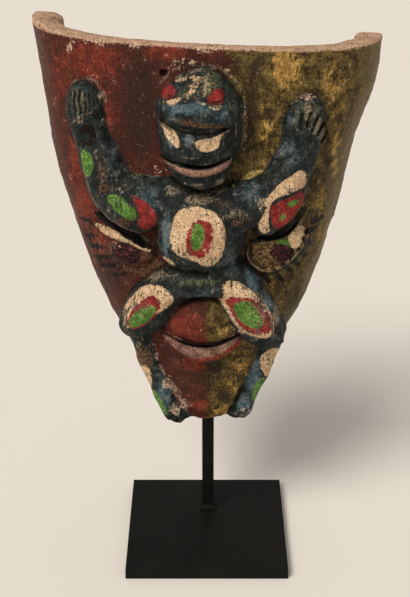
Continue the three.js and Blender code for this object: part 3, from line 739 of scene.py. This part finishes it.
# Where the sides of the arch turn to the flanks, as a share of the half width, and how far off the figure
FLANK_START = 0.86
FLANK_WIDTH = 0.1
FLANK_CLEAR = 2

# Bare wood: depths of it in the hollow, at the back and along the top, and how softly the aged wood begins
GOUGED = 3.5
BACK_WOOD = 3
TOP_WOOD = 1.5
WOOD_DEPTH = -2
AGED_BACK = (2, 8)
AGED_TOP = (2, 6)
AGED_FOOT = (4, 6)

# How far off the surface the hollows and the edges are felt, in millimetres; the hollows set the painted
# shade in creases
REACHES = {"hollow_near": 3.0, "hollow_far": 9.0, "edge": -3.0}
NORMAL_STEP = 0.5


def soft_area(u, v, areas):
    return np.max([strength * np.exp(-((u - x) / across) ** 2 - ((v - y) / up) ** 2)
                   for x, y, across, up, strength in areas], axis=0)


def nearest_parts(points):
    """How much further off each part is than the nearest one, and the figure than the face."""
    x, y, z = points.T
    distances = {name: np.min([form.distance(x, y, z) for form, _ in forms.values()], axis=0)
                 for name, forms in FIGURE_PARTS.items()}
    figure = np.min(list(distances.values()), axis=0)
    face = np.min([form.distance(x, y, z) for form, _ in FACE_FORMS.values()], axis=0)
    distances["face"] = np.minimum(face, arch(x, y, z, OUTSIDE))
    nearest = np.minimum(figure, distances["face"])
    return {name: d - nearest for name, d in distances.items()}, figure - distances["face"]


def ramp(value, start, width):
    return np.clip((value - start) / width, 0, 1)


def paint_values(field, points, normals):
    """Every number that the paint needs at each point of the mask."""
    x, y, z = points.T
    u, v = to_frame(to_world(points))
    apart, figure = nearest_parts(points)
    values = {"figure": figure}
    for table, draw in ((OUTLINES, outline), (STROKES, stroke)):
        for (colour, part), shapes in table.items():
            for shape in shapes:
                gap = np.maximum(draw(u, v, *shape), apart[part] - PART_MARGIN)
                values[colour] = np.minimum(values.get(colour, FAR), gap)
    for name, areas in SOFT_AREAS.items():
        values[name] = soft_area(u, v, areas)
    slits = np.min([stroke(x, z, line, width) for line, width in EYE_SLITS], axis=0)
    # Painted shade: the insides of the eye slits, towards the front, are painted black
    values["slit"] = np.where(y < SLIT_BACK, slits - SLIT_SHADE_MARGIN, FAR)
    values["side"] = u - np.interp(v, DIVIDE_V, DIVIDE_U)
    half = np.where(x < 0, station(z, OUTSIDE[0]), station(z, OUTSIDE[1]))
    values["flank"] = ramp(np.abs(x) / half, FLANK_START, FLANK_WIDTH) * (figure > FLANK_CLEAR)
    hollow = arch(x, y, z, HOLLOW)
    back = np.maximum(-y - BACK_WOOD, WOOD_DEPTH)
    top = np.maximum(MASK_HEIGHT - TOP_WOOD - z, WOOD_DEPTH)
    values["wood"] = np.minimum.reduce([hollow - GOUGED, back, top])
    ends = ramp(MASK_HEIGHT - z, *AGED_TOP) * ramp(z, *AGED_FOOT)
    values["inner"] = (hollow < GOUGED) * ramp(-y, *AGED_BACK) * ends
    for name, reach in REACHES.items():
        values[name] = np.clip(1 - field.sample(points + normals * reach) / reach, 0, 1)
    return values


# Materials

class Output:
    """A node's output; outputs and numbers can be added and multiplied."""

    def __init__(self, shader, socket):
        self.shader = shader
        self.socket = socket

    def __add__(self, other):
        return self.shader.math("ADD", self, other)

    def __sub__(self, number):
        return self + -number

    def __mul__(self, other):
        return self.shader.math("MULTIPLY", self, other)


class Shader:
    """Short names for the nodes of one material."""

    def __init__(self, name):
        self.material = bpy.data.materials.new(name)
        self.material.use_nodes = True
        self.tree = self.material.node_tree
        self.place = self.node("TexCoord", "Object", {})

    def fill(self, inputs, values):
        """Sets or links inputs, named or numbered."""
        for key, value in values.items():
            if isinstance(value, Output):
                self.tree.links.new(value.socket, inputs[key])
            elif inputs[key].type == "RGBA":
                inputs[key].default_value = (*value, 1)
            else:
                inputs[key].default_value = value

    def surface(self, **values):
        """Sets the surface; an underscore stands for a space."""
        inputs = self.tree.nodes["Principled BSDF"].inputs
        self.fill(inputs, {key.replace("_", " "): value for key, value in values.items()})

    def node(self, kind, output, values, **settings):
        made = self.tree.nodes.new("ShaderNode" + kind)
        for key, value in settings.items():
            setattr(made, key, value)
        self.fill(made.inputs, values)
        return Output(self, made.outputs[output])

    def math(self, operation, a, b=0.0):
        return self.node("Math", 0, {0: a, 1: b}, operation=operation)

    def value(self, name):
        return self.node("Attribute", "Fac", {}, attribute_name=name)

    def noise(self, size, detail, rough, stretch=1, shift=0.0):
        """Noise whose lumps are about size millimetres across, and stretch times as high."""
        place = self.node("Mapping", 0, {
            "Vector": self.place, "Location": (shift, shift * 0.7, shift * 1.3),
            "Scale": tuple(1 / MM / (size * s) for s in (1, 1, stretch))})
        return self.node("TexNoise", "Fac", {
            "Vector": place, "Scale": 1.0, "Detail": detail, "Roughness": rough})

    def between(self, value, low, high):
        """0 at low, 1 at high, clamped; low may be the larger."""
        return self.node("MapRange", 0, {"Value": value, "From Min": low, "From Max": high},
                         clamp=True, interpolation_type="SMOOTHSTEP")

    def mix(self, factor, a, b):
        return self.node("Mix", 2, {0: factor, 6: a, 7: b}, data_type="RGBA")

    def bump(self, height, distance, strength=1.0):
        return self.node("Bump", 0, {"Strength": strength, "Distance": distance, "Height": height})


# Colours, linear: the dark and the light tone of each mottled paint
TONES = {
    "red ground": ((0.05, 0.016, 0.011), (0.105, 0.025, 0.016)),
    "bright ground": ((0.11, 0.021, 0.013), (0.24, 0.04, 0.022)),
    "olive": ((0.038, 0.024, 0.009), (0.175, 0.122, 0.036)),
    "ochre": ((0.26, 0.145, 0.036), (0.57, 0.34, 0.09)),
    "blue": ((0.008, 0.01, 0.009), (0.028, 0.038, 0.037)),
    "sky": ((0.022, 0.062, 0.078), (0.145, 0.185, 0.2)),
    "moss": ((0.03, 0.035, 0.02), (0.13, 0.15, 0.085)),
    "rust": ((0.03, 0.014, 0.008), (0.15, 0.065, 0.035)),
    "tan": ((0.09, 0.07, 0.045), (0.36, 0.28, 0.19)),
    "brown": ((0.018, 0.011, 0.007), (0.19, 0.1, 0.05)),
    "yellow": ((0.24, 0.18, 0.05), (0.72, 0.58, 0.17)),
    "cream": ((0.49, 0.32, 0.18), (0.82, 0.58, 0.36)),
    "pink": ((0.17, 0.085, 0.06), (0.46, 0.26, 0.195)),
    "mauve": ((0.12, 0.065, 0.05), (0.34, 0.185, 0.145)),
    "iris": ((0.009, 0.006, 0.006), (0.13, 0.02, 0.03)),
    "red": ((0.14, 0.015, 0.014), (0.36, 0.036, 0.034)),
    "green": ((0.05, 0.115, 0.022), (0.15, 0.32, 0.055)),
    "pale": ((0.2, 0.15, 0.1), (0.5, 0.4, 0.29)),
    "chip": ((0.26, 0.15, 0.1), (0.6, 0.41, 0.29)),
    "wood": ((0.36, 0.215, 0.135), (0.68, 0.445, 0.3)),
    "aged wood": ((0.045, 0.026, 0.015), (0.17, 0.098, 0.057)),
}


def mask_material():
    s = Shader("painted_wood")
    between, value = s.between, s.value
    grain = s.noise(1.7, 3, 0.65)
    speck = s.noise(1.3, 1.5, 0.5, shift=3)
    patch = s.noise(7, 4, 0.65, shift=5)
    streak = s.noise(1.6, 3, 0.6, stretch=5, shift=7)
    fibre = s.noise(2.2, 4, 0.6, stretch=9, shift=2)
    broad = s.noise(16, 3, 0.6, stretch=2, shift=9)
    grain_swing = grain - 0.5
    patch_swing = patch - 0.5
    ragged = patch_swing * 5.0 + grain_swing * 6.0
    mottle = patch * 0.6 + grain * 0.4
    spots = speck + patch_swing * 0.9
    crack = between(s.math("ABSOLUTE", s.noise(6, 2, 0.5, shift=13) - 0.5), 0.016, 0.004)
    crack = crack * between(patch, 0.44, 0.56)
    worn = between(value("thin") + (streak * 1.5 + grain * 0.5 - 1.0) * 2.4, 0.48, 0.62)
    kept = s.math("SUBTRACT", 1.0, worn * 0.9)

    def edge_of(name, raggedness=0.7, width=0.45):
        """1 inside a painted patch, with a worn, ragged edge."""
        return between(value(name) + ragged * raggedness, width, -width)

    def area(name, contrast, level, soft, by=grain):
        """A soft area broken up by noise."""
        return between(value(name) + (patch + by - 1.0) * contrast, level - soft, level + soft)

    def tones(name, by=mottle, low=0.42, high=0.58):
        return s.mix(between(by, low, high), *TONES[name])

    def coated(colour, *coats):
        """The colour under its coats; each is where it lies, how strongly, and its own colour."""
        for where, strength, coat in coats:
            colour = s.mix(where * strength, colour, coat)
        return colour

    flank = coated(
        s.mix(between(value("side"), -10, 10), (0.1, 0.036, 0.024), (0.2, 0.145, 0.065)),
        (between(fibre, 0.5, 0.72), 0.4, (0.3, 0.22, 0.13)))
    ground = s.mix(
        between(value("side") + ragged * 2.5, -5, 5),
        s.mix(area("bright_red", 0.8, 0.35, 0.3), tones("red ground"), tones("bright ground")),
        s.mix(area("ochre", 1.7, 0.5, 0.16, streak), tones("olive"), tones("ochre")))
    coated_ground = coated(
        ground,
        (value("flank"), 0.85, flank),
        # the ground made darker in soft areas
        (area("darkened", 0.9, 0.4, 0.25, streak), 0.85, (0.03, 0.017, 0.011)),
        (between(broad * 0.7 + grain * 0.3, 0.42, 0.3), 0.5, (0.03, 0.018, 0.011)),
        (between(streak, 0.54, 0.64), 0.45, (0.026, 0.014, 0.009)))
    figure = coated(
        tones("blue", low=0.4, high=0.6),
        (area("blue", 0.9, 0.42, 0.35, (streak + grain) * 0.5), 1, tones("sky", low=0.4, high=0.62)),
        (area("moss", 1.2, 0.45, 0.25), 0.8, tones("moss", streak, 0.4, 0.6)),
        (area("rust", 1.2, 0.45, 0.25), 0.8, tones("rust", grain)),
        (area("tan", 1.6, 0.45, 0.15, streak), 0.85, tones("tan", grain)),
        (between(streak + patch_swing * 0.5, 0.62, 0.7), 0.5, (0.17, 0.15, 0.11)))
    cream = coated(
        tones("cream"),
        (area("moss", 1.2, 0.5, 0.3), 0.6, (0.25, 0.24, 0.12)),
        (between(spots, 0.64, 0.74), 1, (0.15, 0.09, 0.05)),
        (crack, 0.8, (0.13, 0.075, 0.045)))
    green = coated(tones("green"), (between(spots, 0.6, 0.7), 1, (0.1, 0.085, 0.035)))
    wood = coated(
        tones("wood", low=0.4, high=0.6),
        (between(patch + grain, 0.86, 0.76), 0.7, (0.12, 0.07, 0.04)),
        (value("inner"), 1, tones("aged wood", fibre * 0.6 + patch * 0.4)))

    bare_wood = between(value("wood") + ragged * 0.9, 0.4, -0.4)
    raised = between(value("edge") + grain_swing * 0.8, 0.42, 0.62)
    pale = edge_of("pale", 0.6, 0.8) * between(streak + patch, 0.9, 1.06)
    chips = between(value("bare") + (patch + grain - 1.0) * 2.0, 0.5, 0.62)
    # Painted shade: the paint is darkened in creases and hollows, where shade falls
    crease_shade = value("hollow_near") * 0.95 + value("hollow_far") * 0.3 + grain_swing * 0.4
    dust = s.noise(1.2, 2, 0.5, shift=21) + patch_swing * 0.9
    colour = coated(
        coated_ground,
        (edge_of("figure", 0.4), 1, figure),
        (raised, 0.55, (0.3, 0.235, 0.165)),
        (edge_of("brown", 1.0, 1.3), 0.85, tones("brown", grain, 0.4, 0.6)),
        (edge_of("yellow", 0.9), 1, tones("yellow", grain)),
        (edge_of("cream"), kept, cream),
        (edge_of("pink"), kept, tones("pink", low=0.4, high=0.6)),
        (edge_of("mauve"), kept, tones("mauve", high=0.6)),
        (edge_of("dark"), 1, tones("iris", grain, 0.48, 0.64)),
        (edge_of("red"), kept, tones("red")),
        (edge_of("green"), kept, green),
        (edge_of("black", 0.35, 0.5), 1, (0.007, 0.005, 0.003)),
        # pale: paint worn off edges and ridges, with a few painted highlights
        (pale, 0.65, tones("pale", grain)),
        (chips, 1, tones("chip", grain)),
        (bare_wood, 1, wood),
        # painted shade inside the eye slits
        (edge_of("slit", 0.1), 1, (0.005, 0.004, 0.003)),
        # painted shade in creases and hollows
        (between(crease_shade, 0.3, 0.85), 0.72, (0.01, 0.008, 0.006)),
        (crack, 0.2, (0.016, 0.01, 0.007)),
        (between(speck + patch_swing * 0.6, 0.6, 0.68), 0.5, (0.018, 0.012, 0.009)),
        (between(dust, 0.66, 0.76), 0.22, (0.36, 0.28, 0.2)))

    height = grain * 0.8 + patch * 0.5 + fibre * 0.5 + crack * -0.5
    s.surface(Base_Color=colour, Roughness=patch * 0.25 + 0.4 + bare_wood * 0.3, Specular_IOR_Level=0.1,
              Normal=s.bump(height, 1.1 * MM))
    return s.material


def steel_material(name, base, sheen):
    s = Shader(name)
    cloud = s.noise(18, 3, 0.6)
    colour = s.mix(s.between(cloud, 0.35, 0.65), base, tuple(1.5 * c for c in base))
    s.surface(Base_Color=colour, Roughness=(cloud - 0.5) * 0.2 + sheen, Specular_IOR_Level=0.1,
              Normal=s.bump(s.noise(0.5, 2, 0.5), 0.08 * MM, 0.5))
    return s.material


# Pieces

def add_object(name, data):
    made = bpy.data.objects.new(name, data)
    bpy.context.scene.collection.objects.link(made)
    return made


def add_mesh(name, points, faces, material, smooth=True):
    data = bpy.data.meshes.new(name)
    data.from_pydata(np.asarray(points).tolist(), [], faces)
    data.polygons.foreach_set("use_smooth", [smooth] * len(data.polygons))
    data.materials.append(material)
    data.validate()
    return add_object(name, data)


def mask_piece():
    field = carve()
    points, faces = field.mesh()
    made = add_mesh("painted_mask", to_world(points) * MM, faces, mask_material())
    gradient = np.stack([field.sample(points + NORMAL_STEP * axis) - field.sample(points - NORMAL_STEP * axis)
                         for axis in np.eye(3)], 1)
    normals = gradient / np.maximum(np.linalg.norm(gradient, axis=1), 1e-6)[:, None]
    for name, values in paint_values(field, points, normals).items():
        layer = made.data.attributes.new(name, "FLOAT", "POINT")
        layer.data.foreach_set("value", np.clip(values, -FAR, FAR).astype(np.float32))
    return made


mask = mask_piece()
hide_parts("mask")
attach(mask, "root")

STEEL_BLACK = (0.0055, 0.0052, 0.0045)
bar_paint = steel_material("black_bar", STEEL_BLACK, 0.42)
plate_paint = steel_material("black_plate", STEEL_BLACK, 0.5)
for node, paint in (("stand_post", bar_paint), ("stand_peg", bar_paint), ("base_plate", plate_paint)):
    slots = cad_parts[node].data.materials
    slots.clear()
    slots.append(paint)


# Floor, light and camera

FLOOR_COLOUR = (0.81, 0.77, 0.715)
FLOOR_REACH = 60.0
KEY_FROM = Vector((-0.42, -0.58, 0.8))
KEY_SPREAD = np.radians(24.0)
KEY_STRENGTH = 2.45
KEY_COLOUR = (1, 0.945, 0.87)
STUDIO_COLOUR = (1, 0.96, 0.9, 1)
STUDIO_STRENGTH = 0.42


def plain_floor():
    s = Shader("floor_paint")
    s.surface(Base_Color=FLOOR_COLOUR, Roughness=0.9)
    corners = [(x * FLOOR_REACH, y * FLOOR_REACH, 0) for x, y in ((-1, -1), (1, -1), (1, 1), (-1, 1))]
    floor = add_mesh("floor", corners, [(0, 1, 2, 3)], s.material, False)


def lights():
    data = bpy.data.lights.new("key", "SUN")
    data.angle = KEY_SPREAD
    data.energy = KEY_STRENGTH
    data.color = KEY_COLOUR
    add_object("key", data).rotation_euler = (-KEY_FROM).to_track_quat("-Z", "Y").to_euler()
    world = bpy.data.worlds.new("studio")
    world.use_nodes = True
    background = world.node_tree.nodes["Background"].inputs
    background["Color"].default_value = STUDIO_COLOUR
    background["Strength"].default_value = STUDIO_STRENGTH
    bpy.context.scene.world = world
    bpy.context.scene.view_settings.view_transform = "Standard"


def camera():
    data = bpy.data.cameras.new("camera")
    data.sensor_fit = "VERTICAL"
    data.sensor_height = SENSOR_HEIGHT
    data.lens = SENSOR_HEIGHT * FOCAL_PIXELS / FRAME_HEIGHT
    made = add_object("camera", data)
    made.location = CAMERA_PLACE * MM
    made.rotation_euler = (np.pi / 2 - CAMERA_PITCH, 0, 0)
    bpy.context.scene.camera = made


plain_floor()
lights()
camera()
